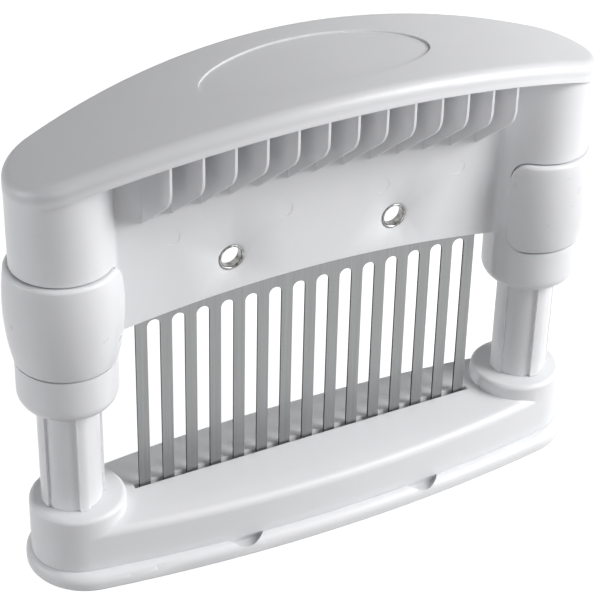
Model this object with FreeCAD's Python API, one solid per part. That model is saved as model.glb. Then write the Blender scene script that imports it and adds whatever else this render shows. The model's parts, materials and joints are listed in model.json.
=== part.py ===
import FreeCAD, Part
import math
import os

# Blade meat tenderizer: a sprung handle carries a comb of steel blades down two guide posts
# and through a slot in the base. Millimetres, +Z up, X along the length, Y front (-) to back (+).
# The origin is on the surface it stands on, under the middle of the slot.

V = FreeCAD.Vector
UP = V(0, 0, 1)
ALONG_Y = V(0, 1, 0)

# Driving dimensions of the whole
POST_X = 63.5            # guide post axes stand at plus and minus this
SLOT_Z = 16.0            # ridge of the base cover, where the blades go in
PLATE_T = 4.2            # bottom plate thickness, up to the seam with the cover
COLLAR_Z = 48.0          # lower end of the handle's columns at rest
STROKE = 27.0            # travel of the handle

# Base: cover, bottom plate and their bosses
COVER_HALF_DEPTH = 17.0
COVER_END_IN = 1.1       # its end circles are centred this far inside the posts' axes
COVER_BOSS_WALL = 4.1    # plastic round each post
COVER_EDGE_DROP = 1.3
COVER_EDGE_R = 2.2
COVER_WALL = 2.0
BOSS_H = 3.6
BOSS_RIM_R = 1.3
POST_SLEEVE_WALL = 2.5
FLANGE_HALF_DEPTH = 19.8
FLANGE_END_IN = 3.2
FLANGE_END_OUT = 3.4     # radius beyond the cover's
FLANGE_TOP_R = 2.2
FLANGE_BOTTOM_R = 0.8
NOTCH_X = 25.0
NOTCH_W = 9.4
NOTCH_DEEP = 2.7         # how far it reaches out from the cover's wall
NOTCH_UNDER = 1.2        # and in under the wall
NOTCH_DOWN = 2.1
NOTCH_CORNER_R = 1.2
SLOT_W = 1.6
SLOT_END_GAP = 1.4
PLATE_SLOT_W = 2.8
LOCATOR_W = 1.4
LOCATOR_H = 2.6
LOCATOR_GAP = 0.15

# Blade comb
BLADES = 15
BLADE_PITCH = 6.4
BLADE_W = 3.0
BLADE_T = 0.6
BLADE_TIP_Z = 2.2
BLADE_POINT_H = 2.4
GAP_TOP_Z = 63.7
COMB_TOP_Z = 82.0
COMB_CLEAR = 0.05

# Guide posts and what runs on them
POST_R = 7.7
POST_PANEL_DEPTH = 0.7
POST_WIDE_RIB_DEG = 36.0
POST_NARROW_RIB_DEG = 18.0
POST_WALL = 2.5
POST_FLOOR_Z = 24.0
POST_HEAD_CLEAR = 0.3
POST_FIT = 0.05
BUSH_WALL = 1.2
BUSH_H = 12.0
HEAD_STOP_GAP = 0.3
TOP_GAP = 2.0            # room above the post at full travel
SCREW_R = 2.0
SCREW_HEAD_R = 3.8
SCREW_HEAD_H = 2.2
SCREW_SINK = 0.4         # heads sit this far inside the plate
SCREW_EDGE_R = 0.9
CROSS_L = 4.4
CROSS_W = 0.9
CROSS_DEEP = 1.0
SCREW_L = 14.0

# Handle
COLUMN_WALL = 3.05
COLUMN_FOOT_R = 4.0
CAP_HALF_DEPTH = 20.6
CAP_END_IN = 1.0
CAP_END_OUT = 1.05       # radius beyond the column's
CAP_UNDER_Z = 117.8      # underside of the cap in the middle
CAP_ARCH_R = 219.0
CAP_T = 4.6
CAP_EDGE_R = 3.0
WEB_T = 2.8
WEB_LOW_Z = 67.8
WEB_ARCH_R = 320.0
WEB_ROOT_R = 1.6
RIB_COUNT = 13
RIB_PITCH = 7.33
RIB_T = 0.6
RIB_INSET = 0.2          # ribs stop this far inside the cap's edge
RIB_ROOT_IN = 0.4        # and reach this far into the web
RIB_END_DOWN = 23.9      # from the underside of the cap to the ribs' ends on the web
RIB_END_ARCH_R = 352.0
RIB_SLOPE_DEG = 40.3
MARK_X = (-37.0, -8.0, 18.0, 39.0)    # round ejector marks on the front of the web
MARK_Z = 85.6
MARK_R = 2.0
MARK_DEPTH = 0.08
RIB_KNEE_R = 6.8
OVAL_A = 29.0
OVAL_B = 12.0
OVAL_DEPTH = 0.5
BORE_ROOF = 3.2          # plastic left above each column's bore

# Tube rivets that pin the comb in the web
RIVET_X = 21.8
RIVET_Z = 76.0
RIVET_R = 3.0
RIVET_WALL = 0.4
RIVET_LIP = 0.2
RIVET_SEAT = 0.5
RIVET_SEAT_OUT = 0.9

# Latch pads, one on each column
PAD_LOW_Z = 60.8
PAD_H = 25.0
PAD_SUNK = 0.5           # inner face, inside the column's surface
PAD_LOW_OUT = 0.15       # outer face, beyond the column's surface: foot, belly and top
PAD_BELLY_OUT = 1.9
PAD_BELLY_UP = 13.7      # height of the fullest point above the pad's lower edge
PAD_HIGH_OUT = 1.1
PAD_LIP_R = 0.8
PAD_OPEN_DEG = 27.0      # half angle left open beside the web
PAD_CORNER_R = 4.5
PAD_SIDE_GAP = 0.7
PAD_TOP_GAP = 0.4
PAD_LOW_GAP = 0.45
POCKET_WALL = 1.45
PIVOT_OUT = 3.5          # pad pivot, outwards from the column's axis
PIVOT_UP = 2.4           # and up from the pad's lower edge
PIN_R = 0.8
PIN_FIT = 0.04
PIN_L = 3.0
PIN_SUNK = 0.1
LEAF_T = 0.3
LEAF_W = 5.0
LEAF_H = 11.0
LEAF_BOW = 0.5

# Return springs
SPRING_SIDE_GAP = 0.5
SPRING_WIRE_R = 0.5
SPRING_TURNS = 14
SPRING_SEAT_GAP = 0.1

# Sizes that follow from those above
POST_PANEL_R = POST_R - POST_PANEL_DEPTH
POST_BORE_R = POST_R - POST_WALL
POST_SLEEVE_R = POST_R + POST_SLEEVE_WALL
COVER_END_X = POST_X - COVER_END_IN
COVER_END_R = POST_R + COVER_BOSS_WALL
FLANGE_END_X = POST_X - FLANGE_END_IN
FLANGE_END_R = COVER_END_R + FLANGE_END_OUT
BORE_R = POST_R + POST_FIT + BUSH_WALL
COLUMN_R = BORE_R + COLUMN_WALL
CAP_END_X = POST_X - CAP_END_IN
CAP_END_R = COLUMN_R + CAP_END_OUT
CAP_LOW_Z = CAP_UNDER_Z - 37.8   # well under the cap, and well over it
CAP_HIGH_Z = CAP_UNDER_Z + 22.2
RIB_END_Z = CAP_UNDER_Z - RIB_END_DOWN
RIVET_SEAT_R = RIVET_R + RIVET_SEAT_OUT
PAD_HIGH_Z = PAD_LOW_Z + PAD_H
PAD_INNER_R = COLUMN_R - PAD_SUNK
PAD_LOW_R = COLUMN_R + PAD_LOW_OUT
PAD_BELLY_R = COLUMN_R + PAD_BELLY_OUT
PAD_HIGH_R = COLUMN_R + PAD_HIGH_OUT
POCKET_R = BORE_R + POCKET_WALL
PIN_OUTER_Y = COLUMN_R - PIN_SUNK
PIN_INNER_Y = PIN_OUTER_Y - PIN_L
SPRING_R = POST_BORE_R - SPRING_SIDE_GAP - SPRING_WIRE_R
BUSH_R = POST_R + POST_FIT
HEAD_R = BORE_R - POST_HEAD_CLEAR
HEAD_Z = COLLAR_Z + BUSH_H + HEAD_STOP_GAP
CAP_CENTRE_Z = CAP_UNDER_Z - CAP_ARCH_R
CAP_TOP_R = CAP_ARCH_R + CAP_T
BORE_TOP_Z = CAP_CENTRE_Z + math.sqrt(CAP_TOP_R ** 2 - (POST_X + BORE_R) ** 2) - BORE_ROOF
POST_TOP_Z = BORE_TOP_Z - STROKE - TOP_GAP
BOSS_TOP_Z = SLOT_Z + BOSS_H
COMB_HALF = (BLADES - 1) / 2 * BLADE_PITCH + BLADE_W / 2
GAP_W = BLADE_PITCH - BLADE_W
SLOT_HALF = COMB_HALF + SLOT_END_GAP
SEAM_TURN = 90           # turns a big cylinder's seam away from the stretch that is used
SIDES = {"left": -1, "right": 1}


def cylinder(r, z0, z1, x=0.0, y=0.0):
    return Part.makeCylinder(r, z1 - z0, V(x, y, z0), UP)


def rod_y(r, y0, y1, x, z):
    return Part.makeCylinder(r, y1 - y0, V(x, y0, z), ALONG_Y)


def block(x0, x1, y0, y1, z0, z1):
    return Part.makeBox(x1 - x0, y1 - y0, z1 - z0, V(x0, y0, z0))


def lens_radius(half_depth, end_x, end_r):
    """Radius of the long arcs that run tangent into both end circles."""
    return (end_x ** 2 + half_depth ** 2 - end_r ** 2) / (2 * (half_depth - end_r))


def lens(half_depth, end_x, end_r, z0, z1):
    """Upright prism on a boat-shaped plan: two long arcs between two end circles."""
    big = lens_radius(half_depth, end_x, end_r)
    away = big - half_depth
    reach = big / (big - end_r)
    tx, ty = end_x * reach, away * reach - away
    front = Part.Arc(V(-tx, -ty, z0), V(0, -half_depth, z0), V(tx, -ty, z0))
    right = Part.Arc(V(tx, -ty, z0), V(end_x + end_r, 0, z0), V(tx, ty, z0))
    back = Part.Arc(V(tx, ty, z0), V(0, half_depth, z0), V(-tx, ty, z0))
    left = Part.Arc(V(-tx, ty, z0), V(-end_x - end_r, 0, z0), V(-tx, -ty, z0))
    wire = Part.Wire([arc.toShape() for arc in (front, right, back, left)])
    return Part.Face(wire).extrude(V(0, 0, z1 - z0))


def lens_depth(half_depth, end_x, end_r, x):
    """Half depth of that plan at a distance x from the middle."""
    big = lens_radius(half_depth, end_x, end_r)
    return half_depth - big + math.sqrt(big ** 2 - x ** 2)


def edges_at(shape, test):
    return [edge for edge in shape.Edges if test(edge)]


def save(name, shape):
    shape = shape.removeSplitter() if len(shape.Solids) == 1 else shape
    solids = shape.Solids
    shape = solids[0] if len(solids) == 1 else Part.makeCompound(solids)
    print(name, "solids", len(solids), "valid", shape.isValid(), "volume", round(shape.Volume, 1))
    shape.exportStep("parts/%s.step" % name)


def bottom_plate():
    """Flanged plate that closes the base, with the blades' slot and two screw seats."""
    plate = lens(FLANGE_HALF_DEPTH, FLANGE_END_X, FLANGE_END_R, 0, PLATE_T)
    plate = plate.makeFillet(FLANGE_TOP_R, edges_at(plate, lambda e: e.BoundBox.ZMin > PLATE_T - 0.01))
    plate = plate.makeFillet(FLANGE_BOTTOM_R, edges_at(plate, lambda e: e.BoundBox.ZMax < 0.01))
    plate = plate.cut(block(-SLOT_HALF, SLOT_HALF, -PLATE_SLOT_W / 2, PLATE_SLOT_W / 2, -1, PLATE_T + 1))
    for x in (-NOTCH_X, NOTCH_X):
        wall_y = lens_depth(COVER_HALF_DEPTH, COVER_END_X, COVER_END_R, x)
        arc_r = ((NOTCH_W / 2) ** 2 + NOTCH_DEEP ** 2) / (2 * NOTCH_DEEP)
        notch = cylinder(arc_r, PLATE_T - NOTCH_DOWN, PLATE_T + 1, x, -wall_y - NOTCH_DEEP + arc_r)
        notch = notch.makeFillet(NOTCH_CORNER_R, edges_at(notch, lambda e: e.BoundBox.ZMax < PLATE_T - 1))
        notch = notch.cut(block(x - 20, x + 20, -wall_y + NOTCH_UNDER, 40, 0, 20))
        plate = plate.cut(notch)
    for x in (-POST_X, POST_X):
        plate = plate.cut(cylinder(SCREW_R + 0.2, -1, PLATE_T + 1, x))
        plate = plate.cut(cylinder(SCREW_HEAD_R + 0.3, -1, SCREW_HEAD_H + SCREW_SINK, x))
    # locating rim that the cover drops over
    inset = COVER_WALL + LOCATOR_GAP
    rim = lens(COVER_HALF_DEPTH - inset, COVER_END_X, COVER_END_R - inset, PLATE_T - 0.2, PLATE_T + LOCATOR_H)
    rim = rim.cut(lens(COVER_HALF_DEPTH - inset - LOCATOR_W, COVER_END_X, COVER_END_R - inset - LOCATOR_W,
                       PLATE_T - 0.3, PLATE_T + LOCATOR_H + 1))
    for x in (-POST_X, POST_X):
        rim = rim.cut(cylinder(POST_SLEEVE_R + 0.3, 0, 30, x))
    rim = Part.makeCompound(rim.Solids)
    return plate.fuse(rim.Solids)


def base_cover():
    """Upper shell of the base: ridged top with the blade slot, and a round boss at each post."""
    crown_r = (COVER_HALF_DEPTH ** 2 + COVER_EDGE_DROP ** 2) / (2 * COVER_EDGE_DROP)
    crown = Part.makeCylinder(crown_r, 200, V(-100, 0, SLOT_Z - crown_r), V(1, 0, 0))
    crown.rotate(V(0, 0, SLOT_Z - crown_r), V(1, 0, 0), SEAM_TURN)
    body = lens(COVER_HALF_DEPTH, COVER_END_X, COVER_END_R, PLATE_T, SLOT_Z + 1).common(crown)
    body = body.makeFillet(COVER_EDGE_R, edges_at(body, lambda e: e.BoundBox.ZMin > PLATE_T + 1))
    for x in (-COVER_END_X, COVER_END_X):
        boss = cylinder(COVER_END_R - 0.02, PLATE_T, BOSS_TOP_Z, x)
        boss = boss.makeFillet(BOSS_RIM_R, edges_at(boss, lambda e: e.BoundBox.ZMin > BOSS_TOP_Z - 0.01))
        body = body.fuse(boss)
    hollow = lens(COVER_HALF_DEPTH - COVER_WALL, COVER_END_X, COVER_END_R - COVER_WALL, PLATE_T - 1,
                  SLOT_Z - COVER_EDGE_DROP - COVER_WALL)
    for x in (-POST_X, POST_X):
        hollow = hollow.cut(cylinder(POST_SLEEVE_R, 0, 30, x))
    body = body.cut(hollow)
    for x in (-POST_X, POST_X):
        socket = post_section(PLATE_T - 1).extrude(V(0, 0, BOSS_TOP_Z - PLATE_T + 2))
        socket.translate(V(x, 0, 0))
        body = body.cut(socket)
    return body.cut(block(-SLOT_HALF, SLOT_HALF, -SLOT_W / 2, SLOT_W / 2, PLATE_T, SLOT_Z + 1))


def post_section(z):
    """Outline of the fluted shaft: four ribs with shallow round panels between them."""
    wide, narrow = POST_WIDE_RIB_DEG / 2, POST_NARROW_RIB_DEG / 2
    stops = [(-wide, wide, POST_R), (wide, 90 - narrow, POST_PANEL_R),
             (90 - narrow, 90 + narrow, POST_R), (90 + narrow, 180 - wide, POST_PANEL_R)]
    stops += [(a + 180, b + 180, r) for a, b, r in stops]

    def at(deg, r):
        return V(r * math.cos(math.radians(deg)), r * math.sin(math.radians(deg)), z)

    edges = []
    for i, (a, b, r) in enumerate(stops):
        edges.append(Part.Arc(at(a, r), at((a + b) / 2, r), at(b, r)).toShape())
        following = stops[(i + 1) % len(stops)][2]
        edges.append(Part.makeLine(at(b, r), at(b, following)))
    return Part.Face(Part.Wire(edges))


def guide_post(x):
    """Post with a plain foot in the boss, a fluted shaft and a wider head inside the column."""
    fluted = post_section(PLATE_T).extrude(V(0, 0, HEAD_Z - PLATE_T))
    fluted.translate(V(x, 0, 0))
    head = cylinder(HEAD_R, HEAD_Z, POST_TOP_Z, x)
    post = fluted.fuse(head).cut(cylinder(POST_BORE_R, POST_FLOOR_Z, POST_TOP_Z + 1, x))
    return post.cut(cylinder(SCREW_R, 0, SCREW_HEAD_H + SCREW_SINK + SCREW_L, x))


def post_screws():
    """Two pan-head screws, up through the bottom plate into the posts, with cross recesses."""
    screws = []
    for x in (-POST_X, POST_X):
        seat = SCREW_HEAD_H + SCREW_SINK
        head = cylinder(SCREW_HEAD_R, SCREW_SINK, seat, x)
        head = head.makeFillet(SCREW_EDGE_R, edges_at(head, lambda e: e.BoundBox.ZMax < SCREW_SINK + 0.01))
        for turn in (0, 90):
            arm = block(-CROSS_L / 2, CROSS_L / 2, -CROSS_W / 2, CROSS_W / 2, 0, SCREW_SINK + CROSS_DEEP)
            arm.rotate(V(0, 0, 0), UP, turn)
            arm.translate(V(x, 0, 0))
            head = head.cut(arm)
        screws.append(head.fuse(cylinder(SCREW_R - 0.02, seat - 0.1, seat + SCREW_L - 2, x)))
    return Part.makeCompound(screws)


def guide_bush(x):
    """Bearing sleeve pressed into the foot of a column; it is also the post head's stop."""
    return cylinder(BORE_R, COLLAR_Z, COLLAR_Z + BUSH_H, x).cut(cylinder(BUSH_R, 0, 100, x))


def arch_disc(radius):
    """Everything under the arch of that radius, concentric with the cap's underside."""
    disc = rod_y(radius, -60, 60, 0, CAP_CENTRE_Z)
    disc.rotate(V(0, 0, CAP_CENTRE_Z), ALONG_Y, SEAM_TURN)
    return disc


def handle_rib(x, side):
    """Thin gusset from the web out to the front or back edge of the cap."""
    reach = lens_depth(CAP_HALF_DEPTH, CAP_END_X, CAP_END_R, abs(x) + RIB_T / 2) - RIB_INSET
    slope = math.radians(RIB_SLOPE_DEG)
    root = WEB_T / 2 - RIB_ROOT_IN
    end_z = RIB_END_Z - RIB_END_ARCH_R + math.sqrt(RIB_END_ARCH_R ** 2 - x ** 2)
    knee_z = end_z + (reach - WEB_T / 2) * math.tan(slope)
    root_z = end_z - RIB_ROOT_IN * math.tan(slope)
    cap_z = CAP_CENTRE_Z + math.sqrt(CAP_ARCH_R ** 2 - x ** 2) + CAP_T / 3
    tangent = RIB_KNEE_R * math.tan((math.pi / 2 - slope) / 2)
    top = V(x, -reach, knee_z + tangent)
    low = V(x, -reach + tangent * math.cos(slope), knee_z - tangent * math.sin(slope))
    half = (math.pi / 2 - slope) / 2
    mid = V(x, -reach + RIB_KNEE_R * (1 - math.cos(half)), top.z - RIB_KNEE_R * math.sin(half))
    outline = [Part.makeLine(V(x, -root, cap_z), V(x, -reach, cap_z)),
               Part.makeLine(V(x, -reach, cap_z), top), Part.Arc(top, mid, low).toShape(),
               Part.makeLine(low, V(x, -root, root_z)), Part.makeLine(V(x, -root, root_z), V(x, -root, cap_z))]
    rib = Part.Face(Part.Wire(outline)).extrude(V(RIB_T, 0, 0))
    rib.translate(V(-RIB_T / 2, 0, 0))
    return rib if side < 0 else rib.mirror(V(0, 0, 0), ALONG_Y)


def open_ring(r0, r1, z0, z1, half_angle, corner_r):
    """Ring around the axis with a gap at +X, its four corners rounded as seen from outside."""
    ring = cylinder(r1, z0, z1).cut(cylinder(r0, 0, 200)).cut(wedge(half_angle))
    corners = edges_at(ring, lambda e: e.BoundBox.ZLength < 0.01 and e.Length < r1 - r0 + 0.1)
    return ring.makeFillet(corner_r, corners)


def pad_pocket(x, side):
    """Recess in a column that its latch pad sits in, open except beside the web."""
    half_angle = PAD_OPEN_DEG - math.degrees(PAD_SIDE_GAP / COLUMN_R)
    ring = open_ring(POCKET_R, COLUMN_R + 2, PAD_LOW_Z - PAD_LOW_GAP, PAD_HIGH_Z + PAD_TOP_GAP, half_angle,
                     PAD_CORNER_R + PAD_SIDE_GAP)
    return placed(ring, x, side)


def wedge(half_angle):
    """Wide triangular prism around +X that leaves a gap of twice this angle in a ring."""
    far = 40.0
    y = far * math.tan(math.radians(half_angle))
    outline = Part.makePolygon([V(0, 0, 0), V(far, -y, 0), V(far, y, 0), V(0, 0, 0)])
    return Part.Face(outline).extrude(V(0, 0, 200))


def placed(shape, x, side):
    """Moves a piece made with the web at +X onto the left or the right column."""
    if side > 0:
        shape = shape.mirror(V(0, 0, 0), V(1, 0, 0))
    shape.translate(V(x, 0, 0))
    return shape


def latch_pad(x, side):
    """C-shaped press pad around a column: flush at its lower edge, swelling towards the top."""
    belly_z = PAD_LOW_Z + PAD_BELLY_UP
    outer = Part.Arc(V(PAD_LOW_R, 0, PAD_LOW_Z), V(PAD_BELLY_R, 0, belly_z), V(PAD_HIGH_R, 0, PAD_HIGH_Z))
    inner_low, inner_high = V(PAD_INNER_R, 0, PAD_LOW_Z), V(PAD_INNER_R, 0, PAD_HIGH_Z)
    outline = [Part.makeLine(inner_low, V(PAD_LOW_R, 0, PAD_LOW_Z)), outer.toShape(),
               Part.makeLine(V(PAD_HIGH_R, 0, PAD_HIGH_Z), inner_high), Part.makeLine(inner_high, inner_low)]
    ring = Part.Face(Part.Wire(outline)).revolve(V(0, 0, 0), UP, 360)
    ring = ring.makeFillet(PAD_LIP_R, edges_at(
        ring, lambda e: e.BoundBox.ZMin > PAD_HIGH_Z - 0.01 and e.BoundBox.XMax > PAD_HIGH_R - 0.1))
    pad = ring.common(open_ring(POCKET_R, COLUMN_R * 2, PAD_LOW_Z, PAD_HIGH_Z, PAD_OPEN_DEG, PAD_CORNER_R))
    end_y = PIN_OUTER_Y + PIN_FIT
    pivot = rod_y(PIN_R + PIN_FIT, -end_y, end_y, -PIVOT_OUT, PAD_LOW_Z + PIVOT_UP)
    return placed(pad.cut(pivot), x, side)


def latch_pins(x, side):
    """Two stub pins, front and back, that a pad swings on."""
    pins = [rod_y(PIN_R, -PIN_OUTER_Y, -PIN_INNER_Y, -PIVOT_OUT, PAD_LOW_Z + PIVOT_UP),
            rod_y(PIN_R, PIN_INNER_Y, PIN_OUTER_Y, -PIVOT_OUT, PAD_LOW_Z + PIVOT_UP)]
    return placed(Part.makeCompound(pins), x, side)


def latch_leaf(x, side):
    """Bowed steel leaf behind a pad's outer side that swings it back out."""
    z0 = PAD_LOW_Z + 1.0
    r0 = POCKET_R + 0.02
    inner = Part.Arc(V(-r0, 0, z0), V(-r0 - LEAF_BOW + LEAF_T, 0, z0 + LEAF_H / 2), V(-r0, 0, z0 + LEAF_H))
    outer = Part.Arc(V(-r0 - LEAF_T, 0, z0), V(-r0 - LEAF_BOW, 0, z0 + LEAF_H / 2),
                     V(-r0 - LEAF_T, 0, z0 + LEAF_H))
    outline = [inner.toShape(), Part.makeLine(V(-r0, 0, z0 + LEAF_H), V(-r0 - LEAF_T, 0, z0 + LEAF_H)),
               outer.toShape(), Part.makeLine(V(-r0 - LEAF_T, 0, z0), V(-r0, 0, z0))]
    leaf = Part.Face(Part.Wire(Part.__sortEdges__(outline))).extrude(V(0, LEAF_W, 0))
    leaf.translate(V(0, -LEAF_W / 2, 0))
    return placed(leaf, x, side)


def handle_body():
    """One moulding: arched cap, web, gussets and the two columns."""
    cap = lens(CAP_HALF_DEPTH, CAP_END_X, CAP_END_R, CAP_LOW_Z, CAP_HIGH_Z).common(arch_disc(CAP_TOP_R))
    cap = cap.cut(arch_disc(CAP_ARCH_R))
    cap = cap.makeFillet(CAP_EDGE_R, edges_at(cap, lambda e: on_arch(e, CAP_TOP_R)))
    oval = Part.Ellipse(V(0, 0, 0), OVAL_A, OVAL_B)
    panel = Part.Face(Part.Wire(oval.toShape())).extrude(V(0, 0, CAP_HIGH_Z - CAP_LOW_Z))
    panel.translate(V(0, 0, CAP_LOW_Z + 10))
    cap = cap.cut(panel.cut(arch_disc(CAP_TOP_R - OVAL_DEPTH)))

    under = arch_disc(CAP_ARCH_R + CAP_T / 2)
    web = block(-POST_X, POST_X, -WEB_T / 2, WEB_T / 2, COLLAR_Z, CAP_HIGH_Z).common(under)
    web = web.cut(rod_y(WEB_ARCH_R, -5, 5, 0, WEB_LOW_Z - WEB_ARCH_R))
    frame = web
    for x in (-POST_X, POST_X):
        column = cylinder(COLUMN_R, COLLAR_Z, CAP_HIGH_Z, x)
        foot = edges_at(column, lambda e: e.BoundBox.ZMax < COLLAR_Z + 0.01)
        frame = frame.fuse(column.makeFillet(COLUMN_FOOT_R, foot).common(under))
    frame = frame.removeSplitter()
    corner_x = POST_X - math.sqrt(COLUMN_R ** 2 - (WEB_T / 2) ** 2)
    roots = edges_at(frame, lambda e: abs(abs(e.CenterOfMass.x) - corner_x) < 0.05
                     and abs(abs(e.CenterOfMass.y) - WEB_T / 2) < 0.05 and e.BoundBox.ZLength > 10)
    frame = frame.makeFillet(WEB_ROOT_R, roots)

    ribs = []
    for k in range(RIB_COUNT):
        x = (k - (RIB_COUNT - 1) / 2) * RIB_PITCH
        ribs += [handle_rib(x, -1), handle_rib(x, 1)]
    body = frame.fuse([cap] + ribs)

    half_t = BLADE_T / 2 + COMB_CLEAR
    comb_slot = block(-COMB_HALF - 0.3, COMB_HALF + 0.3, -half_t, half_t, COLLAR_Z, COMB_TOP_Z + 0.1)
    body = body.cut(comb_slot)
    for x in (-RIVET_X, RIVET_X):
        body = body.cut(rod_y(RIVET_R, -5, 5, x, RIVET_Z))
        for y in (-1, 1):
            face = V(x, y * WEB_T / 2, RIVET_Z)
            body = body.cut(Part.makeCone(RIVET_SEAT_R, RIVET_R, RIVET_SEAT, face, V(0, -y, 0)))
    for x in MARK_X:
        body = body.cut(rod_y(MARK_R, -WEB_T, -WEB_T / 2 + MARK_DEPTH, x, MARK_Z))
    for side in (-1, 1):
        x = side * POST_X
        body = body.cut(cylinder(BORE_R, 0, BORE_TOP_Z, x)).cut(pad_pocket(x, side))
        body = body.cut(latch_pins(x, side))
    return body


def on_arch(edge, radius):
    """True where the middle of the edge lies on the arch of that radius."""
    p = edge.valueAt((edge.FirstParameter + edge.LastParameter) / 2)
    return abs(math.hypot(p.x, p.z - CAP_CENTRE_Z) - radius) < 0.05


def blade_comb():
    """One stamped strip: a back inside the web and a row of pointed blades."""
    comb = block(-COMB_HALF, COMB_HALF, -BLADE_T / 2, BLADE_T / 2, BLADE_TIP_Z, COMB_TOP_Z)
    cuts = []
    for k in range(BLADES - 1):
        x = (k + 1 - BLADES / 2) * BLADE_PITCH
        cuts.append(block(x - GAP_W / 2, x + GAP_W / 2, -1, 1, 0, GAP_TOP_Z - GAP_W / 2))
        cuts.append(rod_y(GAP_W / 2, -1, 1, x, GAP_TOP_Z - GAP_W / 2))
    for k in range(BLADES):
        x = (k + 0.5 - BLADES / 2) * BLADE_PITCH
        for s in (-1, 1):
            side_x, shoulder_z = x + s * BLADE_W, BLADE_TIP_Z + 2 * BLADE_POINT_H
            outline = Part.makePolygon([V(x, -1, BLADE_TIP_Z), V(side_x, -1, shoulder_z), V(side_x, -1, 0),
                                        V(x, -1, 0), V(x, -1, BLADE_TIP_Z)])
            cuts.append(Part.Face(outline).extrude(V(0, 2, 0)))
    for x in (-RIVET_X, RIVET_X):
        cuts.append(rod_y(RIVET_R, -1, 1, x, RIVET_Z))
    return comb.cut(cuts)


def tube_rivet(x):
    """Polished tubular rivet with a rolled lip on each side of the web."""
    half, bore = WEB_T / 2, RIVET_R - RIVET_WALL
    outline = Part.makePolygon([V(bore, -half, 0), V(RIVET_R + RIVET_LIP, -half, 0),
                                V(RIVET_R, -half + RIVET_SEAT, 0), V(RIVET_R, half - RIVET_SEAT, 0),
                                V(RIVET_R + RIVET_LIP, half, 0), V(bore, half, 0), V(bore, -half, 0)])
    tube = Part.Face(outline).revolve(V(0, 0, 0), ALONG_Y, 360)
    rims = edges_at(tube, lambda e: abs(abs(e.CenterOfMass.y) - half) < 0.01 and e.BoundBox.XMax < bore + 0.01
                    and e.BoundBox.XLength > 1)
    tube = tube.makeFillet(RIVET_WALL * 0.6, rims)
    tube.translate(V(x, 0, RIVET_Z))
    return tube


def return_spring(x):
    """Compression spring from the floor of the post's bore to the roof of the column's."""
    z0 = POST_FLOOR_Z + SPRING_WIRE_R + SPRING_SEAT_GAP
    height = BORE_TOP_Z - SPRING_WIRE_R - SPRING_SEAT_GAP - z0
    pitch = height / SPRING_TURNS
    helix = Part.makeHelix(pitch, height, SPRING_R)
    wire = Part.Wire(helix.Edges)
    lean = math.atan2(pitch, 2 * math.pi * SPRING_R)
    ring = Part.Wire(Part.makeCircle(SPRING_WIRE_R, V(SPRING_R, 0, 0), V(0, math.cos(lean), math.sin(lean))))
    coil = wire.makePipeShell([ring], True, True)
    coil.translate(V(x, 0, z0))
    return coil


def main():
    os.makedirs("parts", exist_ok=True)
    save("bottom_plate", bottom_plate())
    save("base_cover", base_cover())
    save("post_screws", post_screws())
    save("blade_comb", blade_comb())
    save("handle_body", handle_body())
    for name, side in SIDES.items():
        x = side * POST_X
        save(name + "_guide_post", guide_post(x))
        save(name + "_guide_bush", guide_bush(x))
        save(name + "_return_spring", return_spring(x))
        save(name + "_tube_rivet", tube_rivet(side * RIVET_X))
        save(name + "_latch_pad", latch_pad(x, side))
        save(name + "_latch_pins", latch_pins(x, side))
        save(name + "_latch_leaf", latch_leaf(x, side))


main()
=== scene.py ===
import json
import logging
import math
from dataclasses import dataclass
from enum import Enum
from typing import Any, Callable, Sequence

import bmesh
import bpy
from mathutils import Matrix, Vector


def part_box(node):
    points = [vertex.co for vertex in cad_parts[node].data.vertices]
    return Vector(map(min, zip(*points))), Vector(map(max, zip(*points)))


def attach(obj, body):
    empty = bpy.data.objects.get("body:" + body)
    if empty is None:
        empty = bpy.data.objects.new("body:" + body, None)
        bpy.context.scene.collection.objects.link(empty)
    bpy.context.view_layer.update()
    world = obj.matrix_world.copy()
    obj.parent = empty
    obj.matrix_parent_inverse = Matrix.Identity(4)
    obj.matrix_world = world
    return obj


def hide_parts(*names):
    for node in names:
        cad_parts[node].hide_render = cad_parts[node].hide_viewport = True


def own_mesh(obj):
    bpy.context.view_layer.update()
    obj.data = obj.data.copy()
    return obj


# Blade meat tenderizer: white moulded plastic, satin steel blades, polished tube rivets.
# Metres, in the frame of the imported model: +X along the length, +Y to the back, +Z up.

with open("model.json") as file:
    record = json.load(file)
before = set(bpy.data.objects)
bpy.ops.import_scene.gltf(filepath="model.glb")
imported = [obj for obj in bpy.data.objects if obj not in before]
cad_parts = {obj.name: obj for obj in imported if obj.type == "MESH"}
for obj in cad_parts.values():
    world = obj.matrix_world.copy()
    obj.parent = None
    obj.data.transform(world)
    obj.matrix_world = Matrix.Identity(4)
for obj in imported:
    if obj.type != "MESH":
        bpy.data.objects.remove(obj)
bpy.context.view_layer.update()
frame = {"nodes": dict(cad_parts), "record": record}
LOG = logging.getLogger("tenderizer")

Point = tuple[float, float, float]
Colour = tuple[float, float, float, float]
MM = 0.001
FRAME_PX = 600

# The cap's outer skin is darkened, because these lamps leave it lighter than in the photo.
# It corrects the light and isn't a finish of the object. The skin starts 1 mm inside the cap.
CAP_ARCH_Z = -101.2 * MM     # axis of the arch that the cap follows
CAP_SKIN_R = 220.0 * MM
CAP_SKIN_BLEND = 1.2 * MM
CAP_SKIN_SHARE = 0.86


class Side(Enum):
    """The two ends of the tool, by the sign of X."""

    LEFT = -1
    RIGHT = 1

    @property
    def label(self) -> str:
        """Name that the nodes of this end start with."""
        return self.name.lower()


class Bed(Enum):
    """What a comb's blade stands beside, which sets its outline."""

    LEFT_END = "left_end"
    MIDDLE = "middle"
    RIGHT_END = "right_end"


# Finishes


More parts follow.
